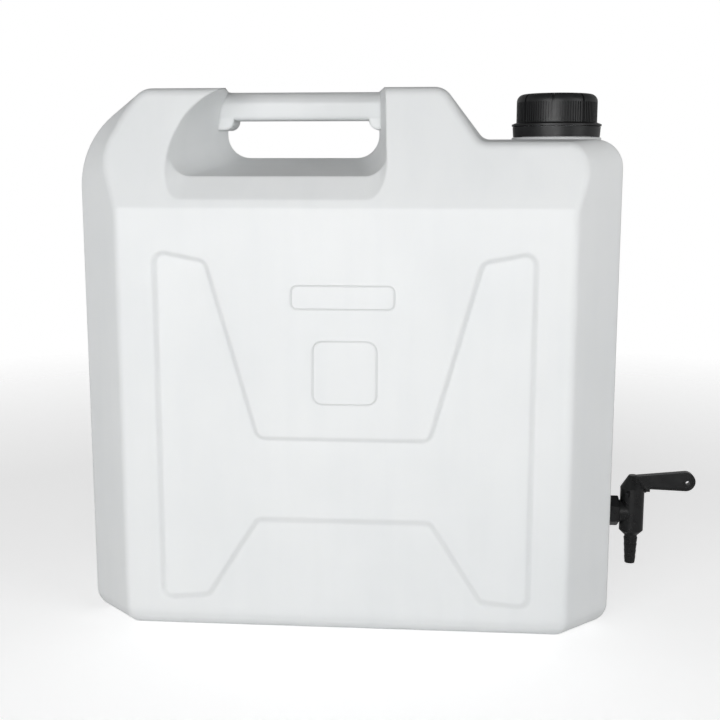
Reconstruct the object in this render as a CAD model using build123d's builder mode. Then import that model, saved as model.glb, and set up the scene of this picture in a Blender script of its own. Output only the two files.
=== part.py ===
from build123d import *
from math import asin, atan, cos, degrees, radians, sin, tan
import os

os.makedirs("parts", exist_ok=True)

# Canister, overall sizes in millimetres. X runs along the front, -Y is the front, Z is up.
body_width = 390.0
body_depth = 168.0
total_height = 395.0
shoulder_drop = 36.5
wall = 2.6

# Flats that cut the four upright corners, and how the faces lean and round
corner_flat = 34.0
lean_drop = 84.0
lean_angle = 18.0
base_round = 18.0
base_cut = 1.0
inner_base_chamfer = 9.0
ridge_round = 8.0
mould_overrun = 12.0

# Left shoulder of the side view, which slopes up to the handle
left_slope_drop = 39.0
left_slope_top = 49.0
left_sweep_round = 66.0
left_brow_round = 16.0

# Right shoulder of the side view, which drops to the neck
right_brow = 125.7
right_foot = 97.7
right_brow_round = 14.0
right_foot_round = 9.0
outer_shoulder_round = 20.0

# The front face's own outline, inside the side view by these amounts
face_top_inset = 6.5
face_slope_drop = 50.0
face_slope_top = 45.0
face_sweep_round = 60.0
face_brow_round = 10.0
face_brow_inset = 2.6
face_foot_inset = 4.9
face_shoulder_drop = 4.0
face_shoulder_round = 30.0

# Hand hole and the funnel that leads to it from each face
grip_left = 99.6
grip_left_draft = 1.0
grip_right = 215.0
grip_floor_drop = 49.1
grip_corner = 17.0
funnel_depth = 70.0
funnel_left = 70.5
funnel_top_left = 111.0
funnel_right = 224.5
funnel_floor_drop = 62.0
funnel_corner = 15.0
skirt_slope = 1.33

# Handle tube over the hand hole, with a round web under each end
handle_drop = 0.4
handle_thickness = 21.0
handle_depth = 30.0
handle_crown = 9.0
handle_taper = 2.0
handle_edge_round = 3.0
handle_under_round = 4.0
handle_root = 14.0
handle_root_round = 7.0

# Recessed panel shaped like the letter W, on the front and on the back
panel_depth = 3.0
panel_edge_inset = 60.8
panel_top_drop = 114.0
panel_inner_top_drop = 121.0
panel_inner_top_inset = 97.3
panel_valley = 146.4
panel_valley_half = 61.7
panel_arch = 85.6
panel_arch_half = 62.9
panel_inner_base = 26.9
panel_inner_base_half = 100.0
panel_base = 23.8
panel_corner = 7.0

# Neck with the ledge that carries the ring and the bead that keeps it there
neck_inset = 43.0
neck_height = 29.5
neck_foot_radius = 25.2
neck_root_radius = 23.7
neck_bore_radius = 21.2
neck_rim_round = 1.0
neck_ledge_height = 4.6
neck_bead_radius = 26.8
neck_bead_height = 1.8
neck_bead_gap = 0.3
plinth_radius = 33.0
plinth_rise = 2.4
plinth_chamfer = 0.8
neck_sink = 6.0

# Ring left on the neck when the cap is first opened
ring_radius = 32.4
ring_foot_radius = 31.9
ring_wall = 1.8
ring_height = 7.2
ring_gap = 0.5
ring_lip_thickness = 2.0
ring_lip_clearance = 0.35

# Screw cap with its sealing disc
cap_radius = 29.6
cap_flare_radius = 33.0
cap_flare_height = 2.6
cap_height = 23.2
cap_wall = 2.4
cap_edge_round = 5.5
cap_rib_depth = 0.7
cap_groups = 8
cap_ribs_per_group = 12
cap_groove_width = 1.05
cap_groove_stop = 0.6
cap_notch_width = 1.7
cap_notch_depth = 1.3
cap_notch_angle = 35.0
liner_thickness = 1.6
liner_clearance = 0.3
cap_top_thickness = 2.6

# Drain port low on the right side
port_height = 74.0
port_bore_radius = 10.1
port_boss_radius = 14.0
port_boss_length = 9.0

# Tap body
washer_thickness = 2.0
washer_radius = 13.0
tap_axis_reach = 23.5
tap_spigot_radius = 10.0
tap_spigot_length = 14.0
tap_bore_radius = 4.6
tap_hex_across_corners = 24.2
tap_hex_length = 11.0
tap_hex_chamfer = 0.8
tap_neck_radius = 8.6
barrel_radius = 9.2
barrel_top = 92.0
barrel_base = 59.0
barrel_base_chamfer = 3.2
plug_bore_radius = 6.6
plug_bore_floor = 62.0
tail_root_radius = 4.9
tail_barb_radius = 5.35
tail_barb_height = 52.6
tail_barbs = 4
tail_barb_pitch = 5.1
tail_barb_step = 0.3
tail_barb_depth = 0.6
tail_bore_radius = 2.4
stop_lug_reach = 2.8
stop_lug_width = 2.4
stop_lug_height = 4.0
stop_lug_drop = 0.4
stop_lug_sink = 1.0
stop_lug_angle = 27.5

# Tap lever, moulded in one with the plug; it turns by tap_turn towards the front
tap_turn = 90.0
plug_clearance = 0.05
plug_wall = 1.6
plug_floor_gap = 0.4
plug_window_radius = 4.2
plug_roof = 3.0
head_radius = 9.3
head_height = 10.8
head_rim = 1.2
head_top_radius = 3.2
lever_reach = 40.0
lever_end_radius = 7.4
lever_end_height = 98.9
lever_thickness = 6.0
lever_root_top = 102.2
lever_root_base = 92.9
lever_rim = 1.4
lever_dish = 0.9
lever_dish_start = 10.5
lanyard_hole_radius = 1.65
lanyard_offset = 1.6
lanyard_drop = 0.9
stop_tab_gap = 0.4
stop_tab_width = 3.4
stop_tab_base = 90.3

half_width = body_width / 2
half_depth = body_depth / 2
shoulder_height = total_height - shoulder_drop
lean_start = total_height - lean_drop
lean_setback = lean_drop * tan(radians(lean_angle))
neck_x = half_width - neck_inset

# Heights of what sits on the neck, and where the tap stands
neck_rim = shoulder_height + neck_height
cap_ceiling = neck_rim + liner_thickness
cap_base = cap_ceiling + cap_top_thickness - cap_height
cap_bore_radius = cap_radius - cap_rib_depth - cap_wall
ring_base = cap_base - ring_gap - ring_height
ledge = shoulder_height + neck_ledge_height
bead_base = ledge + ring_lip_thickness + neck_bead_gap
neck_axis = Axis((neck_x, 0, 0), (0, 0, 1))
hex_face = half_width + washer_thickness
barrel_x = half_width + tap_axis_reach
barrel_axis = Axis((barrel_x, 0, 0), (0, 0, 1))
tail_tip_height = tail_barb_height - tail_barbs * tail_barb_pitch


def side_view():
    """Corner points and rounds of the widest section, open at its foot."""
    points = [
        (-half_width, -mould_overrun),
        (-half_width, total_height - left_slope_drop),
        (-half_width + left_slope_top, total_height),
        (half_width - right_brow, total_height),
        (half_width - right_foot, shoulder_height),
        (half_width, shoulder_height),
        (half_width, -mould_overrun),
    ]
    rounds = [left_sweep_round, left_brow_round, right_brow_round, right_foot_round, outer_shoulder_round]
    return points, rounds


def face_view():
    """Corner points and rounds of the front face, inside the side view by the corner flats."""
    edge = half_width - corner_flat
    top = total_height - face_top_inset
    shoulder = shoulder_height - face_shoulder_drop
    points = [
        (-edge, -mould_overrun),
        (-edge, total_height - face_slope_drop),
        (-half_width + face_slope_top, top),
        (half_width - right_brow - face_brow_inset, top),
        (half_width - right_foot - face_foot_inset, shoulder),
        (edge, shoulder),
        (edge, -mould_overrun),
    ]
    rounds = [face_sweep_round, face_brow_round, right_brow_round, right_foot_round, face_shoulder_round]
    return points, rounds


def upright_section(view, y, inset):
    """One closed section of the canister at depth y, smaller all round by inset."""
    points, rounds = view
    with BuildSketch(Plane.XZ.offset(-y)) as section:
        with BuildLine():
            FilletPolyline(*points, radius=rounds)
            Line(points[-1], points[0])
        make_face()
        if inset > 0:
            offset(amount=-inset, kind=Kind.INTERSECTION, mode=Mode.REPLACE)
    return section.sketch


def is_level(edge, height):
    box = edge.bounding_box()
    return abs(box.min.Z - height) < 0.01 and abs(box.max.Z - height) < 0.01


def face_borders(part, lowest):
    """Edges round the leaning front and back faces, without the two folds and the foot."""
    faces = [f for f in part.faces().filter_by(GeomType.PLANE) if abs(f.normal_at().Y) > 0.9]
    edges = [e for f in faces for e in f.edges()]
    single = [e for e in edges if sum(1 for other in edges if other.is_same(e)) == 1]
    return [e for e in single if (e @ 0.5).Z > lowest + 1]


def hull(inset):
    """The moulded form without handle, neck or port: outside at 0, inside at the wall's thickness.

    The inside keeps plain edges, so the walls thin out a little along the outer rounds.
    """
    flat_shift = inset * tan(radians(22.5))
    flank_y = half_depth - corner_flat - flat_shift
    face_y = half_depth - inset
    with BuildPart() as form:
        with BuildSketch(Plane.XZ.offset(flank_y)):
            add(upright_section(side_view(), -flank_y, inset))
        extrude(amount=-2 * flank_y)
        for facing in (-1, 1):
            loft(
                sections=[
                    upright_section(side_view(), facing * flank_y, inset),
                    upright_section(face_view(), facing * face_y, flat_shift),
                ],
                ruled=True,
            )
        with BuildSketch(Plane.YZ):
            with BuildLine():
                Polyline(
                    (-half_depth, -base_cut),
                    (-half_depth, lean_start),
                    (-half_depth + lean_setback, total_height),
                    (half_depth - lean_setback, total_height),
                    (half_depth, lean_start),
                    (half_depth, -base_cut),
                    close=True,
                )
            make_face()
            if inset > 0:
                offset(amount=-inset, kind=Kind.INTERSECTION, mode=Mode.REPLACE)
        extrude(amount=body_width, both=True, mode=Mode.INTERSECT)
        foot = form.edges().filter_by(lambda e: is_level(e, inset - base_cut))
        if inset > 0:
            chamfer(foot, inner_base_chamfer)
        else:
            fillet(foot, base_round)
            fillet(face_borders(form, base_round), ridge_round)
        # The foot is worked a little below the base, so the round meets the flat base at an angle
        split(bisect_by=Plane.XY.offset(inset), keep=Keep.TOP)
    return form.part


def grip_section(y, left, top_left, right, floor, corner, grow):
    """Section of the hand hole or its funnel at depth y, open above the handle.

    The larger one, which the inside of the canister keeps clear of, has straight corners.
    """
    ceiling = total_height + mould_overrun
    run = top_left - left
    rise = total_height - floor - corner
    side_radius = (run ** 2 + rise ** 2) / (2 * run)
    side_turn = asin(rise / side_radius)
    with BuildSketch(Plane.XZ.offset(-y)) as section:
        with BuildLine():
            if grow > 0:
                Polyline(
                    (right + grow, ceiling),
                    (top_left - grow, ceiling),
                    (top_left - grow, total_height),
                    (left - grow, floor + corner + side_radius * tan(side_turn / 2)),
                    (left - grow, floor + corner / 2),
                    (left + corner / 2, floor - grow),
                    (right - corner / 2, floor - grow),
                    (right + grow, floor + corner / 2),
                    close=True,
                )
            else:
                base = Line((right - corner, floor), (left + corner, floor))
                left_turn = JernArc(base @ 1, (-1, 0), corner, -90)
                side = JernArc(left_turn @ 1, (0, 1), side_radius, -degrees(side_turn))
                Polyline(side @ 1, (top_left, ceiling), (right, ceiling), (right, floor + corner))
                JernArc((right, floor + corner), (0, -1), corner, -90)
        make_face()
    return section.sketch


def grip(grow):
    """Solid of the hand hole and both funnels, larger all round by grow."""
    hole_left = -half_width + grip_left
    hole_right = -half_width + grip_right
    mouth_left = -half_width + funnel_left
    mouth_right = -half_width + funnel_right
    top_left = -half_width + funnel_top_left
    outer_y = half_depth + mould_overrun
    reach = outer_y / funnel_depth
    outer_left = hole_left + (mouth_left - hole_left) * reach
    outer_right = hole_right + (mouth_right - hole_right) * reach
    hole_floor = total_height - grip_floor_drop
    mouth_floor = total_height - funnel_floor_drop
    outer_floor = mouth_floor - (outer_y - funnel_depth) * skirt_slope
    outer_grow = grow / cos(atan(skirt_slope))
    mouth_y = funnel_depth - grow / 2
    hole = grip_section(0, hole_left, hole_left + grip_left_draft, hole_right, hole_floor, grip_corner, grow)
    with BuildPart() as tool:
        for facing in (-1, 1):
            mouth = grip_section(
                facing * mouth_y, mouth_left, top_left, mouth_right, mouth_floor, funnel_corner, grow
            )
            outside = grip_section(
                facing * outer_y, outer_left, top_left, outer_right, outer_floor, funnel_corner, outer_grow
            )
            loft(sections=[hole, mouth], ruled=True)
            loft(sections=[mouth, outside], ruled=True)
    return tool.part


def handle_tube(inset):
    """Straight tube from block to block, or its air passage with an inset."""
    crown = total_height - handle_drop
    edge_height = crown - handle_crown
    underside = crown - handle_thickness
    back = handle_depth / 2
    low = back - handle_taper
    start = -half_width + grip_left - handle_root
    with BuildSketch(Plane.YZ.offset(start)) as section:
        with BuildLine():
            ThreePointArc((-back, edge_height), (0, crown), (back, edge_height))
            Polyline((back, edge_height), (low, underside), (-low, underside), (-back, edge_height))
        make_face()
        if inset > 0:
            offset(amount=-inset, kind=Kind.INTERSECTION, mode=Mode.REPLACE)
        else:
            fillet(section.vertices().group_by(Axis.Y)[0], handle_under_round)
            fillet(section.vertices().group_by(Axis.Y)[-1], handle_edge_round)
    return extrude(section.sketch, amount=grip_right - grip_left + 2 * handle_root, mode=Mode.PRIVATE)


def handle_web(wall_x, inward):
    """Web that rounds the hand hole's upper corner at wall_x; inward points along X into the hole."""
    underside = total_height - handle_drop - handle_thickness
    tip_x = wall_x + inward * handle_root_round
    root_x = wall_x - inward * handle_root
    low = underside - handle_root_round
    depth = handle_depth / 2 - handle_taper
    with BuildSketch(Plane.XZ) as web:
        with BuildLine():
            arc = RadiusArc((tip_x, underside), (wall_x, low), inward * handle_root_round)
            Polyline(arc @ 1, (root_x, low), (root_x, underside + handle_under_round))
            Polyline((root_x, underside + handle_under_round), (tip_x, underside + handle_under_round), arc @ 0)
        make_face()
    return extrude(web.sketch, amount=depth, both=True, mode=Mode.PRIVATE)


def panel_outline(y, grow, corner):
    """Outline of the W panel at depth y, halfway up its sloping edge when grow is 0."""
    edge = half_width - panel_edge_inset
    right_leg = [
        (edge, total_height - panel_top_drop),
        (edge, panel_base),
        (panel_inner_base_half, panel_inner_base),
        (panel_arch_half, panel_arch),
    ]
    inner_top = (half_width - panel_inner_top_inset, total_height - panel_inner_top_drop)
    right_top = [(panel_valley_half, panel_valley), inner_top]
    left_leg = [(-x, z) for x, z in reversed(right_leg)]
    left_top = [(-x, z) for x, z in reversed(right_top)]
    with BuildSketch(Plane.XZ.offset(-y)) as outline:
        with BuildLine():
            Polyline(*right_leg, *left_leg, *left_top, *right_top, close=True)
        make_face()
        if corner > 0:
            fillet(outline.vertices(), corner)
        offset(amount=grow, kind=Kind.INTERSECTION, mode=Mode.REPLACE)
    return outline.sketch


def panel(face_y, grow, corner):
    """Solids that press the W panel into the front and back faces, which lie at depth face_y."""
    lift = 1.0
    with BuildPart() as tool:
        for facing in (-1, 1):
            rim = panel_outline(facing * (face_y + lift), grow + panel_depth / 2 + lift, corner)
            floor = panel_outline(facing * (face_y - panel_depth), grow - panel_depth / 2, corner)
            loft(sections=[rim, floor], ruled=True)
    return tool.part


def cap_form(inset):
    """Outside of the cap, inside its real surface by inset."""
    with BuildPart() as form:
        with BuildSketch(Plane.XZ):
            with Locations((neck_x, 0)):
                Polygon(
                    (0, cap_base),
                    (cap_flare_radius - inset, cap_base),
                    (cap_flare_radius - inset, cap_base + cap_flare_height / 2),
                    (cap_radius - inset, cap_base + cap_flare_height),
                    (cap_radius - inset, cap_base + cap_height - inset),
                    (0, cap_base + cap_height - inset),
                    align=None,
                )
        revolve(axis=neck_axis)
        top_edge = form.edges().filter_by(GeomType.CIRCLE).group_by(Axis.Z)[-1]
        fillet(top_edge, cap_edge_round - inset)
    return form.part


def lever_plate(start_x, inset):
    """Side view of the lever from start_x to its round end, smaller all round by inset."""
    end_x = barrel_x + lever_reach
    share = (start_x - barrel_x) / lever_reach
    end_base = lever_end_height - lever_end_radius
    end_top = lever_end_height + lever_end_radius
    start_base = lever_root_base + (end_base - lever_root_base) * share
    start_top = lever_root_top + (end_top - lever_root_top) * share
    with BuildSketch(Plane.XZ) as plate:
        with BuildLine():
            Line((start_x, start_base), (end_x, end_base))
            ThreePointArc((end_x, end_base), (end_x + lever_end_radius, lever_end_height), (end_x, end_top))
            Line((end_x, end_top), (start_x, start_top))
            Line((start_x, start_top), (start_x, start_base))
        make_face()
        if inset > 0:
            offset(amount=-inset, kind=Kind.INTERSECTION, mode=Mode.REPLACE)
    return plate.sketch


# Inside of the canister, which keeps clear of the hand hole, the panels and the port's boss
with BuildPart() as cavity:
    add(hull(wall))
    add(grip(wall), mode=Mode.SUBTRACT)
    add(handle_tube(wall))
    add(panel(half_depth - wall, wall * tan(radians(22.5)), 0), mode=Mode.SUBTRACT)
    with BuildSketch(Plane.YZ.offset(half_width - port_boss_length)):
        with Locations((0, port_height)):
            Circle(port_boss_radius)
    extrude(amount=port_boss_length, mode=Mode.SUBTRACT)

with BuildPart() as canister:
    add(hull(0))
    add(grip(0), mode=Mode.SUBTRACT)
    add(panel(half_depth, 0, panel_corner), mode=Mode.SUBTRACT)
    add(handle_tube(0))
    add(handle_web(-half_width + grip_left, 1))
    add(handle_web(-half_width + grip_right, -1))
    # Round plinth on the shoulder, then the neck from its foot to the rim
    with BuildSketch(Plane.XY.offset(shoulder_height - neck_sink)):
        with Locations((neck_x, 0)):
            Circle(plinth_radius)
    extrude(amount=neck_sink + plinth_rise)
    plinth_edge = canister.edges().filter_by(lambda e: is_level(e, shoulder_height + plinth_rise))
    chamfer(plinth_edge, plinth_chamfer)
    with BuildSketch(Plane.XZ):
        with Locations((neck_x, 0)):
            Polygon(
                (0, shoulder_height - neck_sink),
                (neck_foot_radius, shoulder_height - neck_sink),
                (neck_foot_radius, ledge),
                (neck_root_radius, ledge),
                (neck_root_radius, bead_base),
                (neck_bead_radius, bead_base),
                (neck_bead_radius, bead_base + neck_bead_height / 3),
                (neck_root_radius, bead_base + neck_bead_height),
                (neck_root_radius, neck_rim - neck_rim_round),
                (neck_root_radius - neck_rim_round, neck_rim),
                (0, neck_rim),
                align=None,
            )
    revolve(axis=neck_axis)
    add(cavity.part, mode=Mode.SUBTRACT)
    with BuildSketch(Plane.XY.offset(neck_rim)):
        with Locations((neck_x, 0)):
            Circle(neck_bore_radius)
    extrude(amount=-neck_height - 2 * neck_sink, mode=Mode.SUBTRACT)
    # Bore of the drain port, through flank and boss
    with BuildSketch(Plane.YZ.offset(half_width)):
        with Locations((0, port_height)):
            Circle(port_bore_radius)
    extrude(amount=-2 * port_boss_length, mode=Mode.SUBTRACT)

canister.part.label = "canister_body"
export_step(canister.part, "parts/canister_body.step")

with BuildPart() as tamper_ring:
    with BuildSketch(Plane.XZ):
        with Locations((neck_x, 0)):
            Polygon(
                (ring_foot_radius - ring_wall, ring_base),
                (ring_foot_radius, ring_base),
                (ring_radius, ring_base + ring_height),
                (ring_radius - ring_wall, ring_base + ring_height),
                (ring_radius - ring_wall, ledge + ring_lip_thickness),
                (neck_root_radius + ring_lip_clearance, ledge + ring_lip_thickness),
                (neck_root_radius + ring_lip_clearance, ledge),
                (ring_foot_radius - ring_wall, ledge),
                align=None,
            )
    revolve(axis=neck_axis)

tamper_ring.part.label = "tamper_ring"
export_step(tamper_ring.part, "parts/tamper_ring.step")

# Notches that part the cap's ribs into groups and run on over its rounded edge
with BuildPart() as notches:
    with BuildSketch(Plane.XY.offset(cap_base + cap_flare_height)):
        with Locations((neck_x, 0)):
            with PolarLocations(cap_radius, cap_groups, start_angle=cap_notch_angle):
                Rectangle(2 * cap_edge_round, cap_notch_width)
    extrude(amount=cap_height)
    add(cap_form(cap_notch_depth), mode=Mode.SUBTRACT)

with BuildPart() as screw_cap:
    add(cap_form(0))
    groove_count = cap_groups * cap_ribs_per_group
    first_groove = cap_notch_angle + 180 / groove_count
    with BuildSketch(Plane.XY.offset(cap_base + cap_flare_height)):
        with Locations((neck_x, 0)):
            with PolarLocations(cap_radius, groove_count, start_angle=first_groove):
                Rectangle(2 * cap_rib_depth, cap_groove_width)
    extrude(amount=cap_height - cap_flare_height - cap_edge_round - cap_groove_stop, mode=Mode.SUBTRACT)
    add(notches.part, mode=Mode.SUBTRACT)
    with BuildSketch(Plane.XY.offset(cap_base)):
        with Locations((neck_x, 0)):
            Circle(cap_bore_radius)
    extrude(amount=cap_ceiling - cap_base, mode=Mode.SUBTRACT)

screw_cap.part.label = "screw_cap"
export_step(screw_cap.part, "parts/screw_cap.step")

with BuildPart() as cap_liner:
    with BuildSketch(Plane.XY.offset(neck_rim)):
        with Locations((neck_x, 0)):
            Circle(cap_bore_radius - liner_clearance)
    extrude(amount=liner_thickness)

cap_liner.part.label = "cap_liner"
export_step(cap_liner.part, "parts/cap_liner.step")

with BuildPart() as tap_washer:
    with BuildSketch(Plane.YZ.offset(half_width)):
        with Locations((0, port_height)):
            Circle(washer_radius)
            Circle(port_bore_radius, mode=Mode.SUBTRACT)
    extrude(amount=washer_thickness)

tap_washer.part.label = "tap_washer"
export_step(tap_washer.part, "parts/tap_washer.step")

with BuildPart() as tap_body:
    with BuildSketch(Plane.YZ.offset(hex_face)):
        with Locations((0, port_height)):
            Circle(tap_spigot_radius)
    extrude(amount=-tap_spigot_length)
    with BuildSketch(Plane.YZ.offset(hex_face)):
        with Locations((0, port_height)):
            RegularPolygon(tap_hex_across_corners / 2, 6, rotation=30)
    extrude(amount=tap_hex_length)
    chamfer(tap_body.faces().sort_by(Axis.X)[-1].edges(), tap_hex_chamfer)
    with BuildSketch(Plane.YZ.offset(hex_face)):
        with Locations((0, port_height)):
            Circle(tap_neck_radius)
    extrude(amount=barrel_x - hex_face)
    # Barrel and hose tail in one turned profile, each barb a little slimmer than the one above
    barbs = []
    for row in range(tail_barbs):
        crest = tail_barb_radius - row * tail_barb_step
        top = tail_barb_height - row * tail_barb_pitch
        barbs += [(crest, top), (crest - tail_barb_depth, top - tail_barb_pitch)]
    with BuildSketch(Plane.XZ):
        with Locations((barrel_x, 0)):
            Polygon(
                (0, barrel_top),
                (barrel_radius, barrel_top),
                (barrel_radius, barrel_base),
                (barrel_radius - barrel_base_chamfer, barrel_base - barrel_base_chamfer),
                (tail_root_radius, barrel_base - barrel_base_chamfer),
                (tail_root_radius, tail_barb_height),
                *barbs,
                (0, tail_tip_height),
                align=None,
            )
    revolve(axis=barrel_axis)
    # Lugs that stop the lever's tab at both ends of its turn
    lug_middle = barrel_radius + stop_lug_reach / 2
    with BuildSketch(Plane.XY.offset(barrel_top - stop_lug_drop)):
        with Locations((barrel_x, 0)):
            for angle in (stop_lug_angle, -tap_turn - stop_lug_angle):
                with PolarLocations(lug_middle, 1, start_angle=angle):
                    Rectangle(stop_lug_reach + stop_lug_sink, stop_lug_width)
    extrude(amount=-stop_lug_height)
    with BuildSketch(Plane.XY.offset(barrel_top)):
        with Locations((barrel_x, 0)):
            Circle(plug_bore_radius)
    extrude(amount=plug_bore_floor - barrel_top, mode=Mode.SUBTRACT)
    with BuildSketch(Plane.XY.offset(tail_tip_height)):
        with Locations((barrel_x, 0)):
            Circle(tail_bore_radius)
    extrude(amount=plug_bore_floor - tail_tip_height, mode=Mode.SUBTRACT)
    with BuildSketch(Plane.YZ.offset(barrel_x)):
        with Locations((0, port_height)):
            Circle(tap_bore_radius)
    extrude(amount=-tap_axis_reach - tap_spigot_length, mode=Mode.SUBTRACT)

tap_body.part.label = "tap_body"
export_step(tap_body.part, "parts/tap_body.step")

with BuildPart() as tap_lever:
    plug_radius = plug_bore_radius - plug_clearance
    plug_base = plug_bore_floor + plug_floor_gap
    head_top = barrel_top + head_height
    with BuildSketch(Plane.XZ):
        with Locations((barrel_x, 0)):
            Polygon(
                (0, plug_base),
                (plug_radius, plug_base),
                (plug_radius, barrel_top),
                (head_radius, barrel_top),
                (head_radius, barrel_top + head_rim),
                (head_top_radius, head_top),
                (0, head_top),
                align=None,
            )
    revolve(axis=barrel_axis)
    with BuildSketch(Plane.XZ):
        add(lever_plate(barrel_x, 0))
    extrude(amount=lever_thickness / 2, both=True)
    # Tab that hangs beside the barrel and meets the two lugs
    tab_start = barrel_x + barrel_radius + stop_tab_gap
    with BuildSketch(Plane.XZ):
        Polygon(
            (tab_start, stop_tab_base),
            (tab_start + stop_tab_width, stop_tab_base),
            (tab_start + stop_tab_width, lever_end_height),
            (tab_start, lever_end_height),
            align=None,
        )
    extrude(amount=lever_thickness / 2, both=True)
    # Shallow dish in both sides of the lever, with a collar left round the lanyard hole
    hole_x = barrel_x + lever_reach + lanyard_offset
    hole_z = lever_end_height - lanyard_drop
    with BuildSketch(Plane.XZ):
        add(lever_plate(barrel_x + lever_dish_start, lever_rim))
        with Locations((hole_x, hole_z)):
            Circle(lanyard_hole_radius + lever_rim, mode=Mode.SUBTRACT)
    extrude(amount=lever_thickness / 2, both=True, mode=Mode.SUBTRACT)
    with BuildSketch(Plane.XZ):
        add(lever_plate(barrel_x + lever_dish_start, lever_rim / 2))
    extrude(amount=lever_thickness / 2 - lever_dish, both=True)
    with BuildSketch(Plane.XZ):
        with Locations((hole_x, hole_z)):
            Circle(lanyard_hole_radius)
    extrude(amount=lever_thickness, both=True, mode=Mode.SUBTRACT)
    # Hollow of the plug, open below, with the window that meets the inlet when the tap is open
    with BuildSketch(Plane.XY.offset(plug_base)):
        with Locations((barrel_x, 0)):
            Circle(plug_radius - plug_wall)
    extrude(amount=barrel_top - plug_roof - plug_base, mode=Mode.SUBTRACT)
    with BuildSketch(Plane.XZ):
        with Locations((barrel_x, port_height)):
            Circle(plug_window_radius)
    extrude(amount=plug_bore_radius, mode=Mode.SUBTRACT)

tap_lever.part.label = "tap_lever"
export_step(tap_lever.part, "parts/tap_lever.step")
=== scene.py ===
import math

import bmesh
import bpy
from bpy.props import FloatProperty, FloatVectorProperty, PointerProperty
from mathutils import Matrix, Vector


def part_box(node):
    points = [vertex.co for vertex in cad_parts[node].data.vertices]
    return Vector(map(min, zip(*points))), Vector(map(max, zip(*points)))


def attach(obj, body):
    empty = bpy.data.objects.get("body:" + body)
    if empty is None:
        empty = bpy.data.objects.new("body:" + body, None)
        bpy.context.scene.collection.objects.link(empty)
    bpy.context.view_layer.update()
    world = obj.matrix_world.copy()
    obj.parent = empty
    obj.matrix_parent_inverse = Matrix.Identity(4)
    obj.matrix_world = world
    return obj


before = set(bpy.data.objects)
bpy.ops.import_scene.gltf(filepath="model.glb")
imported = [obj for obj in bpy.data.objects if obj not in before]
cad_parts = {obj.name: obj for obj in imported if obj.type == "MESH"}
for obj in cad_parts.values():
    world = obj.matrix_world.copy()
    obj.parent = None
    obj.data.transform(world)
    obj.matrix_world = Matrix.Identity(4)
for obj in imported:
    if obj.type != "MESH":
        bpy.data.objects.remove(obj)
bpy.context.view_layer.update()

bl_info = {
    "name": "Carboy with spigot",
    "version": (1, 0, 0),
    "blender": (4, 5, 0),
    "location": "View3D > Sidebar > Carboy",
    "description": "Finishes and details a plastic carboy with screw cap and lever tap",
    "category": "Object",
}

MM = 0.001

# Bare places on the front that carry an empty raised frame: width, height, corner, middle's X and Z
FRONT_FRAMES = (
    (45.5 * MM, 45.5 * MM, 7 * MM, 1.2 * MM, 195 * MM),
    (73 * MM, 16.5 * MM, 4.5 * MM, -0.1 * MM, 248.8 * MM),
)

# Cross section of a raised line: place across its width, and height where -1 is the top
LINE_PROFILE = ((-0.5, 0.3), (-0.32, -0.75), (0, -1), (0.32, -0.75), (0.5, 0.3))

# Lights of the stage: name, place, point aimed at, width and height, all in metres
LIGHTS = (
    ("key", (-0.75, -2.2, 0.5), (0, 0, 0.2), (1.6, 1.2)),
    ("front", (0.1, -1.15, 0.3), (0.03, 0, 0.22), (0.35, 0.35)),
    ("fill", (1.9, -1.3, 0.7), (0, 0, 0.2), (1.2, 1.2)),
)


class CarboyBodySettings(bpy.types.PropertyGroup):
    color: FloatVectorProperty(
        name="Body colour", subtype="COLOR",
        description="Colour of the white canister",
        default=(0.80, 0.815, 0.815), min=0, max=1,
    )
    shade_color: FloatVectorProperty(
        name="Body shade", subtype="COLOR",
        description="Slightly greyer tone that drifts through the plastic",
        default=(0.745, 0.765, 0.77), min=0, max=1,
    )
    grain_size: FloatProperty(
        name="Grain size", description="Size of the fine grain left by the blow mould",
        default=1.1 * MM, unit="LENGTH",
    )
    wave_size: FloatProperty(
        name="Wave size", description="Size of the slow unevenness of the walls",
        default=75 * MM, unit="LENGTH",
    )
    seam_width: FloatProperty(
        name="Parting line width", description="Width of the mould's parting line",
        default=0.9 * MM, unit="LENGTH",
    )
    edge_round: FloatProperty(
        name="Edge rounding", description="Radius that the eye sees on the mould's edges",
        default=3 * MM, unit="LENGTH",
    )
    mark_rise: FloatProperty(
        name="Mark height", description="How far the raised frames stand off the front",
        default=0.9 * MM, unit="LENGTH",
    )
    mark_width: FloatProperty(
        name="Mark line width", description="Line width of the raised frames",
        default=1.6 * MM, unit="LENGTH",
    )


class CarboyCapSettings(bpy.types.PropertyGroup):
    color: FloatVectorProperty(
        name="Cap colour", subtype="COLOR",
        description="Colour of cap and ring",
        default=(0.011, 0.0115, 0.012), min=0, max=1,
    )
    wear_color: FloatVectorProperty(
        name="Cap wear", subtype="COLOR",
        description="Paler tone of rubbed plastic",
        default=(0.02, 0.0205, 0.021), min=0, max=1,
    )
    thread_root: FloatProperty(
        name="Thread root", description="Radius of the neck under its thread",
        default=23.7 * MM, unit="LENGTH",
    )
    thread_crest: FloatProperty(
        name="Thread crest", description="Radius over the neck's thread",
        default=25 * MM, unit="LENGTH",
    )
    thread_width: FloatProperty(
        name="Thread width", description="Width of the thread's rib at its root",
        default=2 * MM, unit="LENGTH",
    )
    thread_drop: FloatProperty(
        name="Thread drop", description="Distance from the neck's rim down to the thread's end",
        default=3.5 * MM, unit="LENGTH",
    )
    thread_pitch: FloatProperty(
        name="Thread pitch", description="Rise of the neck's thread in one turn",
        default=4 * MM, unit="LENGTH",
    )
    thread_turns: FloatProperty(
        name="Thread turns", description="Turns of the neck's thread",
        default=2.1, min=0.5, max=4,
    )


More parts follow.
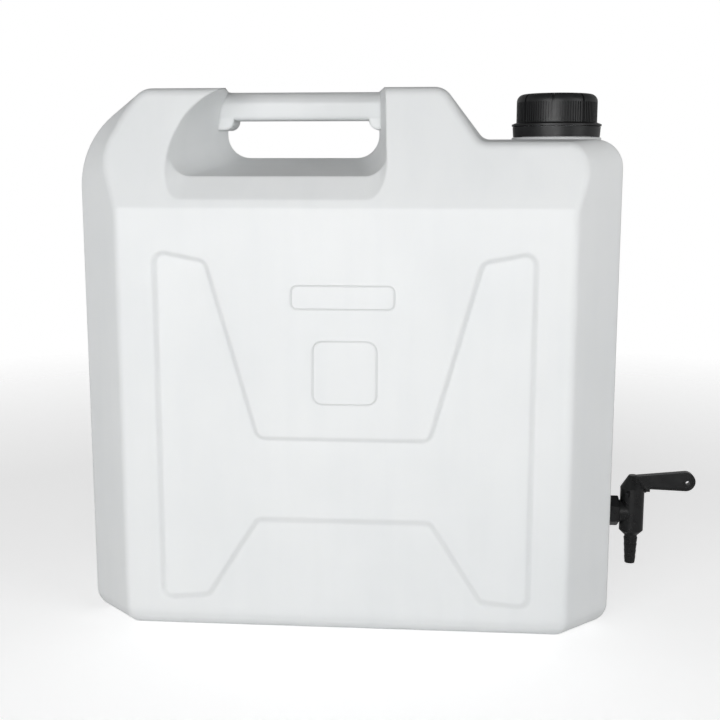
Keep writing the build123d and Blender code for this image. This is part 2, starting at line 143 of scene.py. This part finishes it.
class CarboyTapSettings(bpy.types.PropertyGroup):
    color: FloatVectorProperty(
        name="Tap colour", subtype="COLOR",
        description="Colour of the tap",
        default=(0.008, 0.0082, 0.0085), min=0, max=1,
    )
    wear_color: FloatVectorProperty(
        name="Tap wear", subtype="COLOR",
        description="Paler tone of rubbed edges",
        default=(0.015, 0.0155, 0.016), min=0, max=1,
    )


class CarboyStageSettings(bpy.types.PropertyGroup):
    key_power: FloatProperty(
        name="Key light", description="Power of the large light in front",
        default=25, min=0, unit="POWER",
    )
    front_power: FloatProperty(
        name="Front light", description="Power of the small light near the camera",
        default=2, min=0, unit="POWER",
    )
    fill_power: FloatProperty(
        name="Fill light", description="Power of the light on the right",
        default=10, min=0, unit="POWER",
    )
    sky_low: FloatProperty(
        name="Horizon light", description="Strength of the surroundings at eye level",
        default=0.62, min=0,
    )
    sky_high: FloatProperty(
        name="Overhead light", description="Strength of the surroundings overhead",
        default=0.14, min=0,
    )
    floor_color: FloatVectorProperty(
        name="Floor colour", subtype="COLOR",
        description="Colour of the pale floor",
        default=(0.86, 0.86, 0.86), min=0, max=1,
    )
    floor_shade: FloatVectorProperty(
        name="Floor shade", subtype="COLOR",
        description="Second tone of the pale floor",
        default=(0.84, 0.84, 0.845), min=0, max=1,
    )
    floor_near: FloatProperty(
        name="Floor fade start", description="Distance at which the floor begins to fade into white",
        default=0.5, unit="LENGTH",
    )
    floor_far: FloatProperty(
        name="Floor fade end", description="Distance at which the floor has faded into white",
        default=1.3, unit="LENGTH",
    )
    floor_glow: FloatProperty(
        name="Floor glow", description="Brightening of the floor that only the camera sees",
        default=0.52, min=0,
    )
    camera_turn: FloatProperty(
        name="Camera turn", description="Camera's turn about the upright axis",
        default=math.radians(4.737), unit="ROTATION",
    )
    camera_pitch: FloatProperty(
        name="Camera pitch", description="How far the camera looks down",
        default=math.radians(9.678), unit="ROTATION",
    )
    camera_lens: FloatProperty(
        name="Lens", description="Focal length in millimetres",
        default=57.49, min=10,
    )
    camera_x: FloatProperty(
        name="Camera X", description="Camera's place along X",
        default=78.4 * MM, unit="LENGTH",
    )
    camera_y: FloatProperty(
        name="Camera Y", description="Camera's place along Y",
        default=-881.7 * MM, unit="LENGTH",
    )
    camera_z: FloatProperty(
        name="Camera Z", description="Camera's height",
        default=341.5 * MM, unit="LENGTH",
    )


def new_material(name):
    """An empty node material with its output and principled shader."""
    mat = bpy.data.materials.new(name)
    mat.use_nodes = True
    tree = mat.node_tree
    tree.nodes.clear()
    out = tree.nodes.new("ShaderNodeOutputMaterial")
    shader = tree.nodes.new("ShaderNodeBsdfPrincipled")
    tree.links.new(shader.outputs["BSDF"], out.inputs["Surface"])
    return mat, tree, shader


def coordinates(tree):
    """The piece's own coordinates in metres."""
    return tree.nodes.new("ShaderNodeTexCoord").outputs["Object"]


def noise(tree, where, scale, detail=2.0, rough=0.5, stretch=(1, 1, 1)):
    """Noise value over the object's own coordinates; scale counts waves a metre."""
    mapping = tree.nodes.new("ShaderNodeMapping")
    mapping.inputs["Scale"].default_value = stretch
    tree.links.new(where, mapping.inputs["Vector"])
    node = tree.nodes.new("ShaderNodeTexNoise")
    node.inputs["Scale"].default_value = scale
    node.inputs["Detail"].default_value = detail
    node.inputs["Roughness"].default_value = rough
    tree.links.new(mapping.outputs["Vector"], node.inputs["Vector"])
    return node.outputs["Fac"]


def ramp(tree, value, low, high, to_low=0.0, to_high=1.0):
    """Value taken from the range low to high into another range, held at its ends."""
    node = tree.nodes.new("ShaderNodeMapRange")
    node.inputs["From Min"].default_value = low
    node.inputs["From Max"].default_value = high
    node.inputs["To Min"].default_value = to_low
    node.inputs["To Max"].default_value = to_high
    tree.links.new(value, node.inputs["Value"])
    return node.outputs["Result"]


def maths(tree, kind, a, b):
    """One sum of two values, each a number, a socket or None."""
    node = tree.nodes.new("ShaderNodeMath")
    node.operation = kind
    for socket, value in zip(node.inputs, (a, b)):
        if isinstance(value, (int, float)):
            socket.default_value = value
        elif value is not None:
            tree.links.new(value, socket)
    return node.outputs[0]


def mixed(tree, share, a, b):
    """Colour between a and b."""
    node = tree.nodes.new("ShaderNodeMix")
    node.data_type = "RGBA"
    node.inputs["A"].default_value = (*a, 1)
    node.inputs["B"].default_value = (*b, 1)
    tree.links.new(share, node.inputs["Factor"])
    return node.outputs["Result"]


def bumped(tree, height, distance, strength, below=None):
    """Normal raised by height over the normal below it."""
    node = tree.nodes.new("ShaderNodeBump")
    node.inputs["Distance"].default_value = distance
    node.inputs["Strength"].default_value = strength
    tree.links.new(height, node.inputs["Height"])
    if below is not None:
        tree.links.new(below, node.inputs["Normal"])
    return node.outputs["Normal"]


def body_material(settings):
    """Satin white polyethylene with fine mould grain, slow waves and the mould's parting line."""
    mat, tree, shader = new_material("carboy_body")
    where = coordinates(tree)
    drift = noise(tree, where, 9, 3)
    streaks = noise(tree, where, 60, 2, 0.5, (1, 1, 0.12))
    share = maths(tree, "ADD", ramp(tree, drift, 0.35, 0.7, 0, 0.7), ramp(tree, streaks, 0.45, 0.75, 0, 0.3))
    color = mixed(tree, share, settings.color, settings.shade_color)
    tree.links.new(color, shader.inputs["Base Color"])
    grain = noise(tree, where, 1 / settings.grain_size, 2)
    wave = noise(tree, where, 1 / settings.wave_size, 1, 0.4)
    rough = ramp(tree, noise(tree, where, 30, 3), 0.3, 0.7, 0.40, 0.50)
    tree.links.new(rough, shader.inputs["Roughness"])
    shader.inputs["Specular IOR Level"].default_value = 0.42
    shader.inputs["Subsurface Weight"].default_value = 0.18
    shader.inputs["Subsurface Radius"].default_value = (0.012, 0.012, 0.011)
    shader.inputs["Subsurface Scale"].default_value = 0.6
    split = tree.nodes.new("ShaderNodeSeparateXYZ")
    tree.links.new(where, split.inputs["Vector"])
    off_seam = maths(tree, "ABSOLUTE", split.outputs["Y"], None)
    seam = ramp(tree, off_seam, settings.seam_width / 2, settings.seam_width, 1, 0)
    soft_edges = tree.nodes.new("ShaderNodeBevel")
    soft_edges.samples = 4
    soft_edges.inputs["Radius"].default_value = settings.edge_round
    slow = bumped(tree, wave, 0.004, 0.12, soft_edges.outputs["Normal"])
    fine = bumped(tree, grain, 0.00006, 0.35, slow)
    line = bumped(tree, seam, 0.0003, 0.6, fine)
    tree.links.new(line, shader.inputs["Normal"])
    return mat


def black_material(name, settings, rough_low, rough_high, grain):
    """Black moulded plastic with uneven shine, fine grain and paler rubbed spots."""
    mat, tree, shader = new_material(name)
    where = coordinates(tree)
    blotch = noise(tree, where, 120, 4, 0.6)
    specks = noise(tree, where, 900, 2, 0.6)
    share = maths(tree, "ADD", ramp(tree, blotch, 0.45, 0.75, 0, 0.6), ramp(tree, specks, 0.62, 0.75, 0, 0.4))
    tree.links.new(mixed(tree, share, settings.color, settings.wear_color), shader.inputs["Base Color"])
    tree.links.new(ramp(tree, blotch, 0.3, 0.7, rough_low, rough_high), shader.inputs["Roughness"])
    shader.inputs["Specular IOR Level"].default_value = 0.34
    fine = bumped(tree, noise(tree, where, 1 / grain, 2), 0.00004, 0.4)
    tree.links.new(fine, shader.inputs["Normal"])
    return mat


def liner_material():
    """Off-white sealing foam with small cells."""
    mat, tree, shader = new_material("cap_liner_foam")
    where = coordinates(tree)
    cells = noise(tree, where, 1400, 3, 0.6)
    color = mixed(tree, cells, (0.78, 0.77, 0.73), (0.68, 0.67, 0.63))
    tree.links.new(color, shader.inputs["Base Color"])
    tree.links.new(ramp(tree, cells, 0.2, 0.8, 0.6, 0.8), shader.inputs["Roughness"])
    tree.links.new(bumped(tree, cells, 0.0001, 0.5), shader.inputs["Normal"])
    return mat


def dress(obj, mat):
    """Gives a carried-over or new object one material."""
    obj.data.materials.clear()
    obj.data.materials.append(mat)


def piece_from(bm, name, mat, body):
    """Makes an object of a bmesh, gives it its finish and hangs it on its CAD body."""
    mesh = bpy.data.meshes.new(name)
    bm.to_mesh(mesh)
    bm.free()
    for polygon in mesh.polygons:
        polygon.use_smooth = True
    obj = bpy.data.objects.new(name, mesh)
    bpy.context.scene.collection.objects.link(obj)
    dress(obj, mat)
    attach(obj, body)
    return obj


def rounded_outline(width, height, radius, steps):
    """Points of a rounded rectangle about the origin, in its own plane."""
    points = []
    corners = [(1, 1, 0), (-1, 1, 90), (-1, -1, 180), (1, -1, 270)]
    for sx, sz, start in corners:
        cx, cz = sx * (width / 2 - radius), sz * (height / 2 - radius)
        for i in range(steps + 1):
            a = math.radians(start + 90 * i / steps)
            points.append((cx + radius * math.cos(a), cz + radius * math.sin(a)))
    return points


def raised_line(bm, points, centre, y, rise, width):
    """A closed raised line with a rounded top along points on the plane at depth y."""
    rows = []
    n = len(points)
    for i, (x, z) in enumerate(points):
        before, after = points[i - 1], points[(i + 1) % n]
        along = Vector((after[0] - before[0], after[1] - before[1])).normalized()
        out = Vector((along.y, -along.x))
        row = []
        for across, high in LINE_PROFILE:
            row.append(bm.verts.new((
                centre[0] + x + out.x * across * width,
                y + high * rise,
                centre[1] + z + out.y * across * width,
            )))
        rows.append(row)
    for i in range(n):
        a, b = rows[i], rows[(i + 1) % n]
        for k in range(len(LINE_PROFILE) - 1):
            bm.faces.new((a[k], a[k + 1], b[k + 1], b[k]))


def thread(bm, axis_x, base, settings):
    """The neck's thread, a rib about the upright axis at axis_x that fades at both ends."""
    root, crest, width = settings.thread_root, settings.thread_crest, settings.thread_width
    pitch, turns = settings.thread_pitch, settings.thread_turns
    sunk = root - 0.4 * MM
    steps = int(turns * 48)
    rows = []
    for i in range(steps + 1):
        a = 2 * math.pi * turns * i / steps
        fade = min(1.0, i / 6, (steps - i) / 6)
        tip = root + (crest - root) * fade
        z = base + pitch * turns * i / steps
        lower = ((sunk, -width / 2), (root, -width / 2), (tip, -width / 5))
        upper = ((tip, width / 5), (root, width / 2), (sunk, width / 2))
        row = []
        for r, dz in lower + upper:
            row.append(bm.verts.new((axis_x + r * math.cos(a), r * math.sin(a), z + dz)))
        rows.append(row)
    for a, b in zip(rows, rows[1:]):
        for k in range(6):
            m = (k + 1) % 6
            bm.faces.new((a[k], b[k], b[m], a[m]))
    bm.faces.new(rows[0])
    bm.faces.new(list(reversed(rows[-1])))
    bmesh.ops.recalc_face_normals(bm, faces=bm.faces)


class CARBOY_OT_body(bpy.types.Operator):
    """Gives the canister its white plastic and adds the raised frames on its front"""

    bl_idname = "carboy.body"
    bl_label = "Finish canister"

    def execute(self, context):
        settings = context.scene.carboy_body
        mat = body_material(settings)
        dress(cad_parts["canister_body"], mat)
        front_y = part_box("canister_body")[0].y
        bm = bmesh.new()
        for width, height, radius, x, z in FRONT_FRAMES:
            points = rounded_outline(width, height, radius, 8)
            raised_line(bm, points, (x, z), front_y, settings.mark_rise, settings.mark_width)
        bmesh.ops.recalc_face_normals(bm, faces=bm.faces)
        piece_from(bm, "front_frames", mat, "vessel")
        return {"FINISHED"}


class CARBOY_OT_cap(bpy.types.Operator):
    """Gives the cap, its ring and its disc their plastics and adds the neck's thread"""

    bl_idname = "carboy.cap"
    bl_label = "Finish cap"

    def execute(self, context):
        settings = context.scene.carboy_cap
        mat = black_material("carboy_cap", settings, 0.32, 0.46, 0.7 * MM)
        dress(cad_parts["screw_cap"], mat)
        dress(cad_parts["tamper_ring"], mat)
        dress(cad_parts["cap_liner"], liner_material())
        low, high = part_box("screw_cap")
        disc_low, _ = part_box("cap_liner")
        base = disc_low.z - settings.thread_pitch * settings.thread_turns - settings.thread_drop
        bm = bmesh.new()
        thread(bm, (low.x + high.x) / 2, base, settings)
        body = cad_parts["canister_body"].data.materials[0]
        piece_from(bm, "neck_thread", body, "vessel")
        return {"FINISHED"}


class CARBOY_OT_tap(bpy.types.Operator):
    """Gives the tap, its lever and its washer their plastics"""

    bl_idname = "carboy.tap"
    bl_label = "Finish tap"

    def execute(self, context):
        settings = context.scene.carboy_tap
        mat = black_material("carboy_tap", settings, 0.24, 0.36, 0.9 * MM)
        dress(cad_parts["tap_body"], mat)
        dress(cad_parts["tap_lever"], mat)
        dress(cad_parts["tap_washer"], black_material("carboy_washer", settings, 0.55, 0.7, 0.5 * MM))
        return {"FINISHED"}


class CARBOY_OT_stage(bpy.types.Operator):
    """Makes the floor, the lights, the surroundings and the camera"""

    bl_idname = "carboy.stage"
    bl_label = "Make stage"

    def floor(self, settings):
        """Pale round floor that keeps the shadow and fades into the white surroundings."""
        bm = bmesh.new()
        bmesh.ops.create_circle(bm, cap_ends=True, segments=96, radius=6.0)
        mesh = bpy.data.meshes.new("floor")
        bm.to_mesh(mesh)
        bm.free()
        obj = bpy.data.objects.new("floor", mesh)
        bpy.context.scene.collection.objects.link(obj)
        mat, tree, shader = new_material("floor_pale")
        where = coordinates(tree)
        share = noise(tree, where, 3, 2)
        tone = mixed(tree, share, settings.floor_color, settings.floor_shade)
        tree.links.new(tone, shader.inputs["Base Color"])
        shader.inputs["Roughness"].default_value = 0.9
        shader.inputs["Specular IOR Level"].default_value = 0.1
        path = tree.nodes.new("ShaderNodeLightPath")
        glow = tree.nodes.new("ShaderNodeEmission")
        strength = maths(tree, "MULTIPLY", path.outputs["Is Camera Ray"], settings.floor_glow)
        tree.links.new(strength, glow.inputs["Strength"])
        both = tree.nodes.new("ShaderNodeAddShader")
        tree.links.new(shader.outputs["BSDF"], both.inputs[0])
        tree.links.new(glow.outputs["Emission"], both.inputs[1])
        clear = tree.nodes.new("ShaderNodeBsdfTransparent")
        fade = tree.nodes.new("ShaderNodeMixShader")
        distance = tree.nodes.new("ShaderNodeVectorMath")
        distance.operation = "LENGTH"
        tree.links.new(where, distance.inputs[0])
        faded = ramp(tree, distance.outputs["Value"], settings.floor_near, settings.floor_far)
        tree.links.new(faded, fade.inputs["Fac"])
        tree.links.new(both.outputs["Shader"], fade.inputs[1])
        tree.links.new(clear.outputs["BSDF"], fade.inputs[2])
        out = next(n for n in tree.nodes if n.type == "OUTPUT_MATERIAL")
        tree.links.new(fade.outputs["Shader"], out.inputs["Surface"])
        dress(obj, mat)

    def light(self, name, place, target, size, power):
        """One rectangular light at place, aimed at target."""
        data = bpy.data.lights.new(name, "AREA")
        data.shape = "RECTANGLE"
        data.size, data.size_y = size
        data.energy = power
        obj = bpy.data.objects.new(name, data)
        bpy.context.scene.collection.objects.link(obj)
        obj.location = place
        obj.rotation_mode = "QUATERNION"
        obj.rotation_quaternion = (Vector(target) - Vector(place)).to_track_quat("-Z", "Y")

    def surroundings(self, settings):
        """Soft light that is weaker overhead; the camera itself sees plain white."""
        world = bpy.data.worlds.new("studio")
        world.use_nodes = True
        tree = world.node_tree
        tree.nodes.clear()
        out = tree.nodes.new("ShaderNodeOutputWorld")
        split = tree.nodes.new("ShaderNodeSeparateXYZ")
        tree.links.new(tree.nodes.new("ShaderNodeTexCoord").outputs["Generated"], split.inputs["Vector"])
        strength = ramp(tree, split.outputs["Z"], 0.1, 0.8, settings.sky_low, settings.sky_high)
        lit = tree.nodes.new("ShaderNodeBackground")
        tree.links.new(strength, lit.inputs["Strength"])
        seen = tree.nodes.new("ShaderNodeBackground")
        seen.inputs["Strength"].default_value = 1.0
        seen.inputs["Color"].default_value = (1, 1, 1, 1)
        path = tree.nodes.new("ShaderNodeLightPath")
        mix = tree.nodes.new("ShaderNodeMixShader")
        tree.links.new(path.outputs["Is Camera Ray"], mix.inputs["Fac"])
        tree.links.new(lit.outputs["Background"], mix.inputs[1])
        tree.links.new(seen.outputs["Background"], mix.inputs[2])
        tree.links.new(mix.outputs["Shader"], out.inputs["Surface"])
        bpy.context.scene.world = world

    def camera(self, settings):
        """Camera at the photograph's angle and distance."""
        data = bpy.data.cameras.new("photo_camera")
        data.sensor_width = 36
        data.lens = settings.camera_lens
        data.clip_start, data.clip_end = 0.01, 50
        obj = bpy.data.objects.new("photo_camera", data)
        bpy.context.scene.collection.objects.link(obj)
        obj.location = (settings.camera_x, settings.camera_y, settings.camera_z)
        obj.rotation_euler = (math.pi / 2 - settings.camera_pitch, 0, settings.camera_turn)
        bpy.context.scene.camera = obj

    def execute(self, context):
        settings = context.scene.carboy_stage
        self.floor(settings)
        for name, place, target, size in LIGHTS:
            self.light(name, place, target, size, getattr(settings, name + "_power"))
        self.surroundings(settings)
        self.camera(settings)
        context.scene.view_settings.view_transform = "Standard"
        return {"FINISHED"}


class CARBOY_PT_panel(bpy.types.Panel):
    """Sizes, colours and steps of the carboy"""

    bl_idname = "CARBOY_PT_panel"
    bl_label = "Carboy"
    bl_space_type = "VIEW_3D"
    bl_region_type = "UI"
    bl_category = "Carboy"

    def draw(self, context):
        scene = context.scene
        for group, operator in (
            (scene.carboy_body, "carboy.body"),
            (scene.carboy_cap, "carboy.cap"),
            (scene.carboy_tap, "carboy.tap"),
            (scene.carboy_stage, "carboy.stage"),
        ):
            box = self.layout.box()
            for name in group.__annotations__:
                box.prop(group, name)
            box.operator(operator)


CLASSES = (
    CarboyBodySettings,
    CarboyCapSettings,
    CarboyTapSettings,
    CarboyStageSettings,
    CARBOY_OT_body,
    CARBOY_OT_cap,
    CARBOY_OT_tap,
    CARBOY_OT_stage,
    CARBOY_PT_panel,
)


def register():
    for cls in CLASSES:
        bpy.utils.register_class(cls)
    bpy.types.Scene.carboy_body = PointerProperty(type=CarboyBodySettings)
    bpy.types.Scene.carboy_cap = PointerProperty(type=CarboyCapSettings)
    bpy.types.Scene.carboy_tap = PointerProperty(type=CarboyTapSettings)
    bpy.types.Scene.carboy_stage = PointerProperty(type=CarboyStageSettings)


def unregister():
    del bpy.types.Scene.carboy_stage
    del bpy.types.Scene.carboy_tap
    del bpy.types.Scene.carboy_cap
    del bpy.types.Scene.carboy_body
    for cls in reversed(CLASSES):
        bpy.utils.unregister_class(cls)


def main():
    register()
    bpy.ops.carboy.body()
    bpy.ops.carboy.cap()
    bpy.ops.carboy.tap()
    bpy.ops.carboy.stage()


if __name__ == "__main__":
    main()
